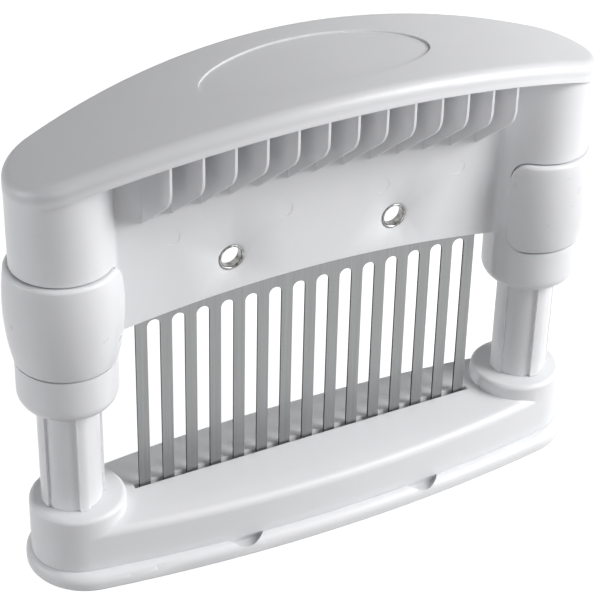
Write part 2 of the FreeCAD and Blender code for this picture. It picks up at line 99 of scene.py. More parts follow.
class Shader:
    """A node material that is built up step by step on Object coordinates."""

    def __init__(self, name: str) -> None:
        """Starts the material.

        Args:
            name: The material's name.
        """
        self.material = bpy.data.materials.new(name)
        self.material.use_nodes = True
        self.tree = self.material.node_tree
        self.bsdf = self.tree.nodes["Principled BSDF"]
        self.coords = self.tree.nodes.new("ShaderNodeTexCoord").outputs["Object"]

    def put(self, **values: Any) -> None:
        """Sets plain values on the shader's own sockets.

        Args:
            **values: Socket names, with underscores for spaces, and their values.
        """
        for name, value in values.items():
            self.bsdf.inputs[name.replace("_", " ")].default_value = value

    def noise(self, scale: float, detail: float = 3.0, stretch: Point = (1, 1, 1), rough: float = 0.5) -> Any:
        """Adds a noise pattern.

        Args:
            scale: Features per metre.
            detail: Octaves.
            stretch: Scale along each axis.
            rough: Weight of the finer octaves.

        Returns:
            The noise's factor socket.
        """
        mapping = self.tree.nodes.new("ShaderNodeMapping")
        mapping.inputs["Scale"].default_value = stretch
        node = self.tree.nodes.new("ShaderNodeTexNoise")
        node.inputs["Scale"].default_value = scale
        node.inputs["Detail"].default_value = detail
        node.inputs["Roughness"].default_value = rough
        self.tree.links.new(self.coords, mapping.inputs["Vector"])
        self.tree.links.new(mapping.outputs["Vector"], node.inputs["Vector"])
        return node.outputs["Fac"]

    def spread(self, factor: Any, low: float, high: float, start: float = 0.3, end: float = 0.7) -> Any:
        """Maps a pattern to a range of values.

        Args:
            factor: The pattern's socket.
            low: Value where the pattern is at its lowest.
            high: Value where the pattern is at its highest.
            start: Pattern value that gives the low value.
            end: Pattern value that gives the high value.

        Returns:
            The mapped socket.
        """
        node = self.tree.nodes.new("ShaderNodeMapRange")
        for key, value in (("From Min", start), ("From Max", end), ("To Min", low), ("To Max", high)):
            node.inputs[key].default_value = value
        self.tree.links.new(factor, node.inputs["Value"])
        return node.outputs["Result"]

    def tint(self, factor: Any, low: Colour, high: Colour) -> None:
        """Blends the base colour between two colours.

        Args:
            factor: The pattern's socket.
            low: Colour at the pattern's low values.
            high: Colour at its high values.
        """
        node = self.tree.nodes.new("ShaderNodeValToRGB")
        node.color_ramp.elements[0].position, node.color_ramp.elements[1].position = 0.3, 0.7
        node.color_ramp.elements[0].color, node.color_ramp.elements[1].color = low, high
        self.tree.links.new(factor, node.inputs["Fac"])
        self.tree.links.new(node.outputs["Color"], self.bsdf.inputs["Base Color"])

    def paint_shade_outside(self, centre_z: float, radius: float, blend: float, share: float) -> None:
        """Paints shade into the base colour outside a cylinder that runs along Y.

        Args:
            centre_z: Height of the cylinder's axis.
            radius: Its radius.
            blend: Depth over which the change takes place.
            share: Share of the colour that is left outside.
        """
        flat = self.tree.nodes.new("ShaderNodeMapping")
        flat.inputs["Location"].default_value = (0, 0, -centre_z)
        flat.inputs["Scale"].default_value = (1, 0, 1)
        self.tree.links.new(self.coords, flat.inputs["Vector"])
        away = self.tree.nodes.new("ShaderNodeVectorMath")
        away.operation = "LENGTH"
        self.tree.links.new(flat.outputs["Vector"], away.inputs[0])
        level = self.spread(away.outputs["Value"], 1.0, share, radius, radius + blend)
        scaled = self.tree.nodes.new("ShaderNodeVectorMath")
        scaled.operation = "SCALE"
        colour = self.bsdf.inputs["Base Color"]
        self.tree.links.new(colour.links[0].from_socket, scaled.inputs[0])
        self.tree.links.new(level, scaled.inputs["Scale"])
        self.tree.links.new(scaled.outputs["Vector"], colour)

    def roughen(self, value: Any) -> None:
        """Drives the roughness with a pattern."""
        self.tree.links.new(value, self.bsdf.inputs["Roughness"])

    def relief(self, layers: Sequence[tuple[Any, float]]) -> None:
        """Stacks bump layers.

        Args:
            layers: Each pattern socket with its height in metres.
        """
        normal = None
        for height, distance in layers:
            node = self.tree.nodes.new("ShaderNodeBump")
            node.inputs["Distance"].default_value = distance
            node.inputs["Strength"].default_value = 1.0
            self.tree.links.new(height, node.inputs["Height"])
            if normal is not None:
                self.tree.links.new(normal, node.inputs["Normal"])
            normal = node.outputs["Normal"]
        self.tree.links.new(normal, self.bsdf.inputs["Normal"])


@dataclass(frozen=True)
class MouldedPlastic:
    """White semi-gloss moulding with a fine sparked grain and a slow unevenness."""

    name: str
    colour: Colour
    shade: float = 0.975
    gloss_low: float = 0.30
    gloss_high: float = 0.38
    grain_m: float = 0.000006
    flow_m: float = 0.00002
    glow: float = 0.5
    depth_m: float = 0.0016
    painted_cap_shade: bool = False

    def build(self) -> bpy.types.Material:
        """Makes the material."""
        s = Shader(self.name)
        r, g, b, a = self.colour
        s.tint(s.noise(38, 4), (r * self.shade, g * self.shade, b * self.shade, a), self.colour)
        # Painted shade: the cap's outer skin gets a darker base colour to tone down its light.
        if self.painted_cap_shade:
            s.paint_shade_outside(CAP_ARCH_Z, CAP_SKIN_R, CAP_SKIN_BLEND, CAP_SKIN_SHARE)
        s.put(IOR=1.49, Specular_IOR_Level=0.5, Subsurface_Weight=self.glow, Subsurface_Scale=self.depth_m,
              Subsurface_Radius=(1.0, 0.93, 0.9))
        s.roughen(s.spread(s.noise(160, 3), self.gloss_low, self.gloss_high))
        s.relief([(s.noise(28, 2), self.flow_m), (s.noise(2600, 3), self.grain_m)])
        return s.material


@dataclass(frozen=True)
class GroundSteel:
    """Satin stainless strip with the fine upright lines of its grinding."""

    name: str
    dark: Colour = (0.26, 0.265, 0.268, 1)
    light: Colour = (0.31, 0.315, 0.318, 1)
    line_m: float = 0.0000035

    def build(self) -> bpy.types.Material:
        """Makes the material."""
        s = Shader(self.name)
        lines = s.noise(1.0, 4, (9000, 9000, 90), 0.6)
        s.tint(s.noise(1.0, 3, (2600, 2600, 24), 0.6), self.dark, self.light)
        s.put(Metallic=1.0)
        s.roughen(s.spread(lines, 0.30, 0.46))
        s.relief([(lines, self.line_m)])
        return s.material


@dataclass(frozen=True)
class PolishedTube:
    """Bright plated tube with faint turning rings round its axis."""

    name: str
    colour: Colour = (0.42, 0.42, 0.41, 1)
    haze: Colour = (0.12, 0.12, 0.115, 1)

    def build(self) -> bpy.types.Material:
        """Makes the material."""
        s = Shader(self.name)
        s.tint(s.noise(900, 3), self.haze, self.colour)
        s.put(Metallic=1.0)
        s.roughen(s.spread(s.noise(1.0, 2, (1200, 9000, 1200)), 0.05, 0.11))
        s.relief([(s.noise(1.0, 2, (900, 12000, 900)), 0.000001)])
        return s.material


@dataclass(frozen=True)
class DrawnWire:
    """Spring or pin steel with a drawn, slightly dull skin."""

    name: str
    dark: Colour = (0.40, 0.40, 0.41, 1)
    light: Colour = (0.55, 0.55, 0.56, 1)
    rough: tuple[float, float] = (0.25, 0.4)

    def build(self) -> bpy.types.Material:
        """Makes the material."""
        s = Shader(self.name)
        skin = s.noise(1400, 3)
        s.tint(skin, self.dark, self.light)
        s.put(Metallic=1.0)
        s.roughen(s.spread(skin, *self.rough))
        s.relief([(s.noise(4200, 2), 0.000002)])
        return s.material


@dataclass(frozen=True)
class Palette:
    """Every finish of the tool, by the record's slot."""

    shell: Colour = (0.860, 0.863, 0.880, 1)
    pale: Colour = (0.850, 0.853, 0.868, 1)

    def build(self) -> dict[str, bpy.types.Material]:
        """Makes the materials.

        Returns:
            The material for each slot name.
        """
        recipes = {
            # The handle's cap carries painted shade on its outer skin.
            "handle_plastic": MouldedPlastic("handle_plastic", self.shell, glow=0.3, depth_m=0.0012,
                                             painted_cap_shade=True),
            "base_plastic": MouldedPlastic("base_plastic", self.pale, gloss_low=0.33, gloss_high=0.42),
            "post_plastic": MouldedPlastic("post_plastic", self.pale, gloss_low=0.28, gloss_high=0.36),
            "pad_plastic": MouldedPlastic("pad_plastic", self.pale, gloss_low=0.27, gloss_high=0.35),
            "bush_plastic": MouldedPlastic("bush_plastic", (0.70, 0.70, 0.71, 1), gloss_low=0.42,
                                           gloss_high=0.5),
            "blade_steel": GroundSteel("blade_steel"),
            # Near-black steel for the comb's cut sides: painted shade, not a finish of the steel.
            "sheared_steel": DrawnWire("sheared_steel", (0.02, 0.02, 0.021, 1), (0.05, 0.05, 0.052, 1),
                                       (0.5, 0.65)),
            "rivet_chrome": PolishedTube("rivet_chrome"),
            "spring_steel": DrawnWire("spring_steel"),
            "pin_steel": DrawnWire("pin_steel", (0.5, 0.5, 0.5, 1), (0.62, 0.62, 0.62, 1), (0.15, 0.25)),
            "screw_steel": DrawnWire("screw_steel", (0.52, 0.53, 0.55, 1), (0.64, 0.65, 0.67, 1),
                                     (0.22, 0.36)),
        }
        return {slot: recipe.build() for slot, recipe in recipes.items()}


# Geometry trees


class Tree:
    """A geometry nodes tree with named inputs, which ends in Realize Instances and Set Material."""

    def __init__(self, name: str) -> None:
        """Starts the tree.

        Args:
            name: The tree's name.
        """
        self.group = bpy.data.node_groups.new(name, "GeometryNodeTree")
        self.group.interface.new_socket("Geometry", in_out="OUTPUT", socket_type="NodeSocketGeometry")
        self.inside = self.group.nodes.new("NodeGroupInput")
        self.values: dict[str, Any] = {}

    def size(self, name: str, value: Any, kind: str = "NodeSocketFloat") -> Any:
        """Adds a named input.

        Args:
            name: Its name.
            value: What it is set to on the modifier.
            kind: The socket's type.

        Returns:
            The socket to link from.
        """
        self.group.interface.new_socket(name, in_out="INPUT", socket_type=kind)
        self.values[name] = value
        return self.inside.outputs[name]

    def node(self, kind: str, links: dict[Any, Any] | None = None, **settings: Any) -> Any:
        """Adds a node.

        Args:
            kind: Its type name.
            links: For each input, by name or number, a socket to link or a plain value.
            **settings: Properties to set on the node first.

        Returns:
            The node.
        """
        made = self.group.nodes.new(kind)
        for key, value in settings.items():
            setattr(made, key, value)
        for key, value in (links or {}).items():
            if isinstance(value, bpy.types.NodeSocket):
                self.group.links.new(value, made.inputs[key])
            else:
                made.inputs[key].default_value = value
        return made

    def sum(self, operation: str, a: Any, b: Any) -> Any:
        """Adds a math node and returns its value."""
        return self.node("ShaderNodeMath", {0: a, 1: b}, operation=operation).outputs[0]

    def xyz(self, x: Any = 0.0, y: Any = 0.0, z: Any = 0.0) -> Any:
        """Adds a Combine XYZ node and returns its vector."""
        return self.node("ShaderNodeCombineXYZ", {"X": x, "Y": y, "Z": z}).outputs[0]

    def join(self, *parts: Any) -> Any:
        """Joins geometry sockets into one."""
        node = self.group.nodes.new("GeometryNodeJoinGeometry")
        for part in parts:
            self.group.links.new(part, node.inputs[0])
        return node.outputs[0]

    def bake(self, geometry: Any, material: bpy.types.Material, name: str,
             weld_m: float = 0.0) -> bpy.types.Object:
        """Ends the tree, runs it and keeps the result as a plain mesh.

        Args:
            geometry: The socket that holds the result.
            material: What it is made of.
            name: The new object's name.
            weld_m: Distance within which points are merged, or 0.

        Returns:
            A mesh object at the origin with no modifier.
        """
        real = self.node("GeometryNodeRealizeInstances", {"Geometry": geometry}).outputs[0]
        if weld_m:
            real = self.node("GeometryNodeMergeByDistance", {"Geometry": real, "Distance": weld_m}).outputs[0]
        dressed = self.node("GeometryNodeSetMaterial", {"Geometry": real, "Material": material}).outputs[0]
        outside = self.group.nodes.new("NodeGroupOutput")
        self.group.links.new(dressed, outside.inputs[0])
        holder = bpy.data.objects.new(name + "_tree", bpy.data.meshes.new(name + "_tree"))
        bpy.context.scene.collection.objects.link(holder)
        modifier = holder.modifiers.new(name, "NODES")
        modifier.node_group = self.group
        for item in self.group.interface.items_tree:
            if item.item_type == "SOCKET" and item.in_out == "INPUT":
                modifier[item.identifier] = self.values[item.name]
        graph = bpy.context.evaluated_depsgraph_get()
        mesh = bpy.data.meshes.new_from_object(holder.evaluated_get(graph))
        mesh.name = name
        bpy.data.objects.remove(holder)
        return mesh_object(name, mesh)


def mesh_object(name: str, mesh: bpy.types.Mesh) -> bpy.types.Object:
    """Links a mesh as an object at the origin."""
    made = bpy.data.objects.new(name, mesh)
    bpy.context.scene.collection.objects.link(made)
    return made


def shade(mesh: bpy.types.Mesh, angle_deg: float) -> None:
    """Shades smooth, with sharp edges where faces meet at more than the angle."""
    for face in mesh.polygons:
        face.use_smooth = True
    mesh.set_sharp_from_angle(angle=math.radians(angle_deg))


def out_mesh(name: str, build: Callable[[bmesh.types.BMesh], None]) -> bpy.types.Mesh:
    """Makes a mesh in code with merged points and outward faces.

    Args:
        name: The mesh's name.
        build: Fills the bmesh.

    Returns:
        The mesh.
    """
    bm = bmesh.new()
    build(bm)
    bmesh.ops.remove_doubles(bm, verts=bm.verts, dist=1e-7)
    bmesh.ops.recalc_face_normals(bm, faces=bm.faces)
    mesh = bpy.data.meshes.new(name)
    bm.to_mesh(mesh)
    bm.free()
    return mesh


# Blade comb


@dataclass
class BladeComb:
    """One stamped strip with a row of ground blades, pinned in the web by the two tube rivets."""

    count: int = 15
    pitch: float = 6.4 * MM
    width: float = 3.0 * MM
    thick: float = 0.6 * MM
    tip_z: float = 2.2 * MM
    point_h: float = 2.4 * MM
    ground_h: float = 7.0 * MM
    tip_thick: float = 0.12 * MM
    gap_top_z: float = 63.7 * MM
    top_z: float = 82.0 * MM
    edge: float = 0.05 * MM
    arc_steps: int = 7
    rivet_x: float = 21.8 * MM
    rivet_z: float = 76.0 * MM
    rivet_r: float = 3.0 * MM

    def flank(self, free: bool) -> list[tuple[float, float, float, float]]:
        """One side of a blade and of its share of the strip, from the shoulder up.

        Args:
            free: True where the strip ends at this side, False where a neighbour joins.

        Returns:
            Points as x, z, inset x, inset z.
        """
        half_w, half_p, gap_r, e = self.width / 2, self.pitch / 2, (self.pitch - self.width) / 2, self.edge
        shoulder, ground = self.tip_z + self.point_h, self.tip_z + self.ground_h
        points = [(half_w, shoulder, half_w - e, shoulder + e * 0.3), (half_w, ground, half_w - e, ground)]
        for i in range(self.arc_steps + 1):
            a = math.pi / 2 * i / self.arc_steps
            c, rise = math.cos(a), self.gap_top_z - gap_r * (1 - math.sin(a))
            if free:
                points.append((half_w, rise, half_w - e, rise))
            else:
                points.append((half_p - gap_r * c, rise, half_p - (gap_r + e) * c, rise + e * math.sin(a)))
        end = (half_w, half_w - e) if free else (half_p, half_p)
        return points + [(end[0], self.top_z, end[1], self.top_z - e)]

    def half_thick(self, z: float) -> float:
        """Half of the strip's thickness at a height, thinner where the tip is ground."""
        along = min(1.0, max(0.0, (z - self.tip_z) / self.ground_h))
        return (self.tip_thick + (self.thick - self.tip_thick) * along) / 2

    def cell(self, bed: Bed) -> bpy.types.Object:
        """Mesh of one blade with its share of the strip, open where a neighbour joins.

        Args:
            bed: Which sides run on into a neighbour.

        Returns:
            The object, which is removed once the comb is made.
        """
        bm = bmesh.new()

        def stack(x: float, z: float, ix: float, iz: float) -> list[Any]:
            """Four points through the thickness: front face, front bevel, back bevel, back face."""
            t, it = self.half_thick(z), self.half_thick(iz)
            e = min(self.edge, t * 0.6)
            return [bm.verts.new(p) for p in ((ix, -it, iz), (x, -t + e, z), (x, t - e, z), (ix, it, iz))]

        tip = stack(0.0, self.tip_z, 0.0, self.tip_z + 1.4 * self.edge)
        right = [tip] + [stack(*p) for p in self.flank(bed is Bed.RIGHT_END)]
        left = [tip] + [stack(-x, z, -ix, iz) for x, z, ix, iz in self.flank(bed is Bed.LEFT_END)]
        walls = [(a, b) for a, b in zip(right, right[1:])] + [(b, a) for a, b in zip(left, left[1:])]
        if bed is not Bed.RIGHT_END:
            walls.remove((right[-2], right[-1]))
        if bed is not Bed.LEFT_END:
            walls.remove((left[-1], left[-2]))
        walls.append((right[-1], left[-1]))
        for a, b in walls:
            for k in range(3):
                bm.faces.new((a[k + 1], b[k + 1], b[k], a[k]))
        for k in (0, 3):
            turn = 1 if k == 0 else -1
            bm.faces.new((tip[k], right[1][k], left[1][k])[::turn])
            for i in range(1, len(right) - 1):
                bm.faces.new((right[i][k], right[i + 1][k], left[i + 1][k], left[i][k])[::turn])
        mesh = bpy.data.meshes.new("blade_" + bed.value)
        bm.to_mesh(mesh)
        bm.free()
        return mesh_object("blade_" + bed.value, mesh)

    def build(self, material: bpy.types.Material, painted_shade_sides: bpy.types.Material) -> bpy.types.Object:
        """Repeats the blades along the strip and bores it for the rivets.

        Args:
            material: The steel.
            painted_shade_sides: Near-black steel for the cut sides, as painted shade.

        Returns:
            The comb.
        """
        cells = {bed: self.cell(bed) for bed in Bed}
        tree = Tree("comb_row")
        pitch = tree.size("Pitch", self.pitch)
        count = tree.size("Blades", self.count, "NodeSocketInt")
        shapes = {bed: tree.node("GeometryNodeObjectInfo", {
            "Object": tree.size(bed.value, cells[bed], "NodeSocketObject")}).outputs["Geometry"]
            for bed in Bed}
        span = tree.sum("MULTIPLY", pitch, tree.sum("SUBTRACT", count, 1.0))
        half = tree.sum("MULTIPLY", span, 0.5)
        inner = tree.sum("SUBTRACT", half, pitch)
        row = tree.node("GeometryNodeMeshLine", {
            "Count": tree.sum("SUBTRACT", count, 2.0),
            "Start Location": tree.xyz(tree.sum("MULTIPLY", inner, -1.0)),
            "Offset": tree.xyz(pitch)})
        middles = tree.node("GeometryNodeInstanceOnPoints", {
            "Points": row.outputs[0], "Instance": shapes[Bed.MIDDLE]})
        ends = [tree.node("GeometryNodeTransform", {
            "Geometry": shapes[bed], "Translation": tree.xyz(x)}).outputs[0]
                for bed, x in ((Bed.LEFT_END, tree.sum("MULTIPLY", half, -1.0)), (Bed.RIGHT_END, half))]
        real = tree.node("GeometryNodeRealizeInstances", {"Geometry": tree.join(middles.outputs[0], *ends)})
        strip = tree.node("GeometryNodeMergeByDistance", {"Geometry": real.outputs[0], "Distance": 0.01 * MM})
        x, z = tree.size("Rivet across", self.rivet_x), tree.size("Rivet height", self.rivet_z)
        drill = tree.node("GeometryNodeMeshCylinder", {
            "Vertices": 64, "Radius": tree.size("Rivet radius", self.rivet_r), "Depth": 5 * MM})
        drills = [tree.node("GeometryNodeTransform", {
            "Geometry": drill.outputs[0], "Translation": tree.xyz(at, 0.0, z),
            "Rotation": (math.pi / 2, 0, 0)}).outputs[0] for at in (x, tree.sum("MULTIPLY", x, -1.0))]
        bored = tree.node("GeometryNodeMeshBoolean", {0: strip.outputs[0], 1: tree.join(*drills)},
                          operation="DIFFERENCE", solver="EXACT")
        comb = tree.bake(bored.outputs[0], material, "ground_blade_comb")
        for spare in cells.values():
            bpy.data.objects.remove(spare)
        comb.data.materials.clear()
        comb.data.materials.append(material)
        comb.data.materials.append(painted_shade_sides)
        # Painted shade: the cut sides, whose normals lie across Y, take the near-black steel.
        for face in comb.data.polygons:
            face.material_index = int(abs(face.normal.y) < 0.3)
        shade(comb.data, 12)
        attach(comb, "handle")
        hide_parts("blade_comb")
        return comb


# Springs


@dataclass
class ReturnSpring:
    """Compression spring with closed end turns, between a post's bore floor and its column's roof."""

    side: Side
    turns: float = 14.0
    end_turns: float = 1.0
    radius: float = 4.2 * MM
    wire_r: float = 0.5 * MM
    steps_per_turn: int = 40
    stroke: float = 27.0 * MM

    def build(self, material: bpy.types.Material) -> bpy.types.Object:
        """Winds the coil.

        Args:
            material: The wire.

        Returns:
            The spring.
        """
        node = self.side.label + "_return_spring"
        low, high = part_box(node)
        x = (low.x + high.x) / 2
        tree = Tree(node + "_coil")
        turns = tree.size("Turns", self.turns)
        closed = tree.size("Closed turns", self.end_turns)
        wire = tree.size("Wire radius", self.wire_r)
        radius = tree.size("Coil radius", self.radius)
        height = tree.size("Height", high.z - low.z)
        spiral = tree.node("GeometryNodeCurveSpiral", {
            "Resolution": self.steps_per_turn, "Rotations": turns, "Start Radius": radius,
            "End Radius": radius, "Height": 0.0})
        t = tree.node("GeometryNodeSplineParameter").outputs["Factor"]
        share = tree.sum("DIVIDE", closed, turns)
        flat = tree.sum("MULTIPLY", tree.sum("MULTIPLY", wire, 2.0), closed)
        rest = tree.sum("SUBTRACT", tree.sum("SUBTRACT", height, tree.sum("MULTIPLY", wire, 2.0)),
                        tree.sum("MULTIPLY", flat, 2.0))
        upper = tree.sum("SUBTRACT", 1.0, share)
        lifts = [tree.node("ShaderNodeMapRange", {
            "Value": t, "From Min": start, "From Max": end, "To Max": rise}).outputs[0]
            for start, end, rise in ((0.0, share, flat), (share, upper, rest), (upper, 1.0, flat))]
        z = tree.sum("ADD", tree.sum("ADD", lifts[0], lifts[1]), tree.sum("ADD", lifts[2], wire))
        wound = tree.node("GeometryNodeSetPosition", {
            "Geometry": spiral.outputs[0], "Offset": tree.xyz(0.0, 0.0, z)})
        section = tree.node("GeometryNodeCurvePrimitiveCircle", {"Resolution": 12, "Radius": wire})
        tube = tree.node("GeometryNodeCurveToMesh", {
            "Curve": wound.outputs[0], "Profile Curve": section.outputs[0], "Fill Caps": True})
        moved = tree.node("GeometryNodeTransform", {
            "Geometry": tube.outputs[0], "Translation": tree.xyz(x, 0.0, low.z)})
        spring = tree.bake(moved.outputs[0], material, self.side.label + "_coil_spring")
        shade(spring.data, 40)
        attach(spring, "base")
        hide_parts(node)
        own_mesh(spring)
        return spring


# Rivets


@dataclass
class TubeRivet:
    """Polished tubular rivet with a rolled mouth on each side of the web."""

    side: Side
    at_x: float = 21.8 * MM
    at_z: float = 76.0 * MM
    half: float = 1.4 * MM
    bore: float = 2.6 * MM
    outer: float = 3.0 * MM
    lip: float = 3.2 * MM
    roll: float = 0.5 * MM
    segments: int = 96

    def profile(self) -> list[tuple[float, float]]:
        """Closed section of the tube as radius and distance from the web's middle."""
        front = [(self.bore, -self.half + 1.0 * self.roll)]
        for i in range(1, 9):
            a = math.pi / 2 * i / 8
            front.append((self.bore + (self.lip - self.bore - 0.06 * MM) * (1 - math.cos(a)),
                          -self.half + self.roll * (1 - math.sin(a))))
        front += [(self.lip, -self.half + 0.06 * MM), (self.lip, -self.half + 0.12 * MM),
                  (self.outer, -self.half + 0.5 * MM)]
        back = [(r, -y) for r, y in reversed(front)]
        return front + back

    def build(self, material: bpy.types.Material) -> bpy.types.Object:
        """Turns the section round the rivet's axis.

        Args:
            material: The plated metal.

        Returns:
            The rivet.
        """
        centre_x = self.side.value * self.at_x
        section = self.profile()

        def turn(bm: bmesh.types.BMesh) -> None:
            """Makes the rings and joins them."""
            rings = []
            for k in range(self.segments):
                a = 2 * math.pi * k / self.segments
                rings.append([bm.verts.new((centre_x + r * math.cos(a), y, self.at_z + r * math.sin(a)))
                              for r, y in section])
            for k, ring in enumerate(rings):
                following = rings[(k + 1) % self.segments]
                for i in range(len(section)):
                    j = (i + 1) % len(section)
                    bm.faces.new((ring[i], ring[j], following[j], following[i]))

        rivet = mesh_object(self.side.label + "_rolled_rivet", out_mesh("rolled_rivet", turn))
        rivet.data.materials.append(material)
        shade(rivet.data, 40)
        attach(rivet, "handle")
        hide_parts(self.side.label + "_tube_rivet")
        return rivet


# Latch pads


@dataclass
class LatchPad:
    """C-shaped press pad round a column, with rounded corners and a fuller lip at its top."""

    side: Side
    post_x: float = 63.5 * MM
    low_z: float = 60.8 * MM
    high_z: float = 85.8 * MM
    belly_z: float = 74.5 * MM
    low_r: float = 12.15 * MM
    belly_r: float = 13.9 * MM
    high_r: float = 13.1 * MM
    inner_r: float = 11.5 * MM
    open_deg: float = 27.0
    corner: float = 4.5 * MM
    low_edge: float = 0.22 * MM
    high_edge: float = 0.8 * MM
    across: int = 96
    upright: int = 14
    corner_steps: int = 8

    def bulge(self, z: float) -> float:
        """Outer radius at a height, on the arc through the three given radii."""
        (x1, y1), (x2, y2), (x3, y3) = ((self.low_r, self.low_z), (self.belly_r, self.belly_z),
                                        (self.high_r, self.high_z))
        d = 2 * (x1 * (y2 - y3) + x2 * (y3 - y1) + x3 * (y1 - y2))
        s1, s2, s3 = x1 * x1 + y1 * y1, x2 * x2 + y2 * y2, x3 * x3 + y3 * y3
        cx = (s1 * (y2 - y3) + s2 * (y3 - y1) + s3 * (y1 - y2)) / d
        cy = (s1 * (x3 - x2) + s2 * (x1 - x3) + s3 * (x2 - x1)) / d
        reach = math.hypot(x1 - cx, y1 - cy)
        return cx + math.sqrt(reach * reach - (z - cy) ** 2)

    def edge(self, z: float) -> float:
        """Radius of the rounded edge at a height."""
        t = min(1.0, max(0.0, (z - self.belly_z) / (self.high_z - self.belly_z)))
        return self.low_edge + (self.high_edge - self.low_edge) * t * t * (3 - 2 * t)

    def loop(self, inset: float, half_s: float, half_h: float) -> list[tuple[float, float]]:
        """Rounded rectangle that lies inside the pad's outline.

        Args:
            inset: Distance in from the outline.
            half_s: Half of the outline's width, along the wall.
            half_h: Half of its height.

        Returns:
            Its points, along the wall and up, anticlockwise.
        """
        r, a, b = max(self.corner - inset, 0.0), half_s - self.corner, half_h - self.corner
        points = []
        for k, (sx, sy) in enumerate(((1, -1), (1, 1), (-1, 1), (-1, -1))):
            for i in range(self.corner_steps + 1):
                t = math.radians(-90 + 90 * k + 90 * i / self.corner_steps)
                points.append((sx * a + r * math.cos(t), sy * b + r * math.sin(t)))
            nx, ny = ((1, 1), (-1, 1), (-1, -1), (1, -1))[k]
            steps = self.upright if k % 2 == 0 else self.across
            sx2, sy2 = points[-1]
            ex = nx * a + (r if k == 0 else -r if k == 2 else 0.0)
            ey = ny * b + (r if k == 1 else -r if k == 3 else 0.0)
            points += [(sx2 + (ex - sx2) * i / steps, sy2 + (ey - sy2) * i / steps) for i in range(1, steps)]
        return points

    def build(self, material: bpy.types.Material) -> bpy.types.Object:
        """Builds the pad's outer and inner skins from loops inside its outline.

        Args:
            material: The plastic.

        Returns:
            The pad.
        """
        mid_z, half_h = (self.low_z + self.high_z) / 2, (self.high_z - self.low_z) / 2
        half_s = math.radians(180 - self.open_deg) * self.belly_r
        centre_x, away = self.side.value * self.post_x, self.side.value

        def place(point: tuple[float, float], radius: float) -> Point:
            """Wraps a point of the flat outline round the column."""
            angle = point[0] / self.belly_r
            return (centre_x + away * radius * math.cos(angle), away * radius * math.sin(angle),
                    mid_z + point[1])

        insets = [self.high_edge * (1 - math.cos(math.pi / 2 * i / 6)) for i in range(7)] + [
            self.high_edge + (self.corner - self.high_edge) * i / 4 for i in range(1, 5)]

        def skins(bm: bmesh.types.BMesh) -> None:
            """Fills in the outer skin, the inner skin and the wall between them."""
            def outer(point: tuple[float, float], inset: float) -> float:
                """Radius of the outer skin, with its rounded edge."""
                z = mid_z + point[1]
                e = self.edge(z)
                gap = max(0.0, e - inset)
                return self.bulge(z) - (e - math.sqrt(e * e - gap * gap))

            rows = [self.loop(inset, half_s, half_h) for inset in insets]
            rings = [[bm.verts.new(place(p, outer(p, d))) for p in row] for row, d in zip(rows, insets)]
            rings.insert(0, [bm.verts.new(place(p, self.inner_r)) for p in rows[0]])
            rings.insert(0, [bm.verts.new(place(p, self.inner_r)) for p in rows[-1]])
            count = len(rows[0])
            for low, high in zip(rings, rings[1:]):
                for i in range(count):
                    j = (i + 1) % count
                    face = (low[i], low[j], high[j], high[i])
                    if len({tuple(v.co) for v in face}) > 2:
                        bm.faces.new(face)
            a, b = half_s - self.corner, half_h - self.corner
            for flat in (True, False):
                grid = [[bm.verts.new(place(p, self.inner_r if flat else self.bulge(mid_z + p[1])))
                         for p in ((-a + 2 * a * i / self.across, -b + 2 * b * k / self.upright)
                                   for i in range(self.across + 1))] for k in range(self.upright + 1)]
                for k in range(self.upright):
                    for i in range(self.across):
                        bm.faces.new((grid[k][i], grid[k][i + 1], grid[k + 1][i + 1], grid[k + 1][i]))

        pad = mesh_object(self.side.label + "_press_pad", out_mesh("press_pad", skins))
        pad.data.materials.append(material)
        shade(pad.data, 35)
        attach(pad, self.side.label + "_latch")
        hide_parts(self.side.label + "_latch_pad")
        return pad


# Carried-over solids


@dataclass
class Moulding:
    """A solid that keeps its shape: a merged, smoothly shaded copy stands for it where that looks better."""

    node: str
    slot: str
    body: str
    crease_deg: float = 30.0
    sliver: float = 0.004 * MM

    def build(self, material: bpy.types.Material) -> bpy.types.Object:
        """Copies the solid's mesh, merges its loose triangles and shades it.

        Args:
            material: Its finish.

        Returns:
            The piece.
        """
        mesh = frame["nodes"][self.node].data.copy()
        bm = bmesh.new()
        bm.from_mesh(mesh)
        bmesh.ops.remove_doubles(bm, verts=bm.verts, dist=1e-6)
        bmesh.ops.dissolve_degenerate(bm, edges=bm.edges, dist=self.sliver)
        bm.to_mesh(mesh)
        bm.free()
        for layer in list(mesh.uv_layers):
            mesh.uv_layers.remove(layer)
        if mesh.has_custom_normals:
            mesh.attributes.remove(mesh.attributes["custom_normal"])
        piece = mesh_object(self.node + "_shell", mesh)
        mesh.materials.clear()
        mesh.materials.append(material)
        shade(mesh, self.crease_deg)
        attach(piece, self.body)
        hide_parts(self.node)
        return piece


# Studio


@dataclass
class Lamp:
    """One soft box."""

    name: str
    place: Point
    watts: float
    width: float
    height: float
    tint: tuple[float, float, float] = (1.0, 1.0, 1.0)

    def build(self, aim: Point) -> None:
        """Hangs the lamp so that it faces the aim point.

        Args:
            aim: The point that it faces.
        """
        data = bpy.data.lights.new(self.name, "AREA")
        data.shape = "RECTANGLE"
        data.size, data.size_y, data.energy, data.color = self.width, self.height, self.watts, self.tint
        lamp = bpy.data.objects.new(self.name, data)
        bpy.context.scene.collection.objects.link(lamp)
        lamp.location = self.place
        lamp.rotation_euler = (Vector(aim) - Vector(self.place)).to_track_quat("-Z", "Y").to_euler()


